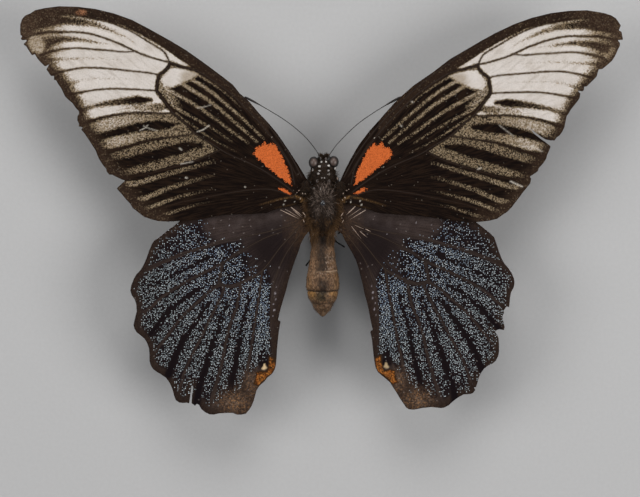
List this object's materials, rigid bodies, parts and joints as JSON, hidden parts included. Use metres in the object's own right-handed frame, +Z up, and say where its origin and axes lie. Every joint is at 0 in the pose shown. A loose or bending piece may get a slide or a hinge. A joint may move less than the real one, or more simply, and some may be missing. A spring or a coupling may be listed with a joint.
{
  "type": "pinned butterfly specimen",
  "caption": "Large dried butterfly with spread striped wings, furry body and feelers, held on an upright insect pin that goes into a board.",
  "frame": {"origin": "where the pin goes into the surface of its board, on the pin's axis", "axes": "+Z up along the pin, +Y towards the butterfly's head, +X towards its own right wing"},
  "size_m": [0.1321, 0.0898, 0.0383],
  "materials": {
    "wing_fore": "matt scaled wing membrane, black and cream striped",
    "wing_hind": "matt scaled wing membrane, dark with blue-grey dust",
    "body_fur": "dried body covered in short hair",
    "abdomen": "dried body covered in short flat scales",
    "eye": "glossy dried compound eye",
    "limb": "thin dark horny limb, satin",
    "pin": "black enamelled steel pin, glossy"
  },
  "bodies": {
    "root": {"forewing_left": "wing_fore", "forewing_right": "wing_fore", "hindwing_left": "wing_hind", "hindwing_right": "wing_hind", "thorax": "body_fur", "head": "body_fur", "tegula_left": "body_fur", "tegula_right": "body_fur", "palp_left": "body_fur", "palp_right": "body_fur", "abdomen": "abdomen", "eye_left": "eye", "eye_right": "eye", "foreleg_left": "limb", "foreleg_right": "limb", "midleg_left": "limb", "midleg_right": "limb", "hindleg_left": "limb", "hindleg_right": "limb", "antenna_left": "limb", "antenna_right": "limb", "proboscis": "limb", "pin_shank": "pin", "pin_head": "pin"}
  },
  "joints": []
}
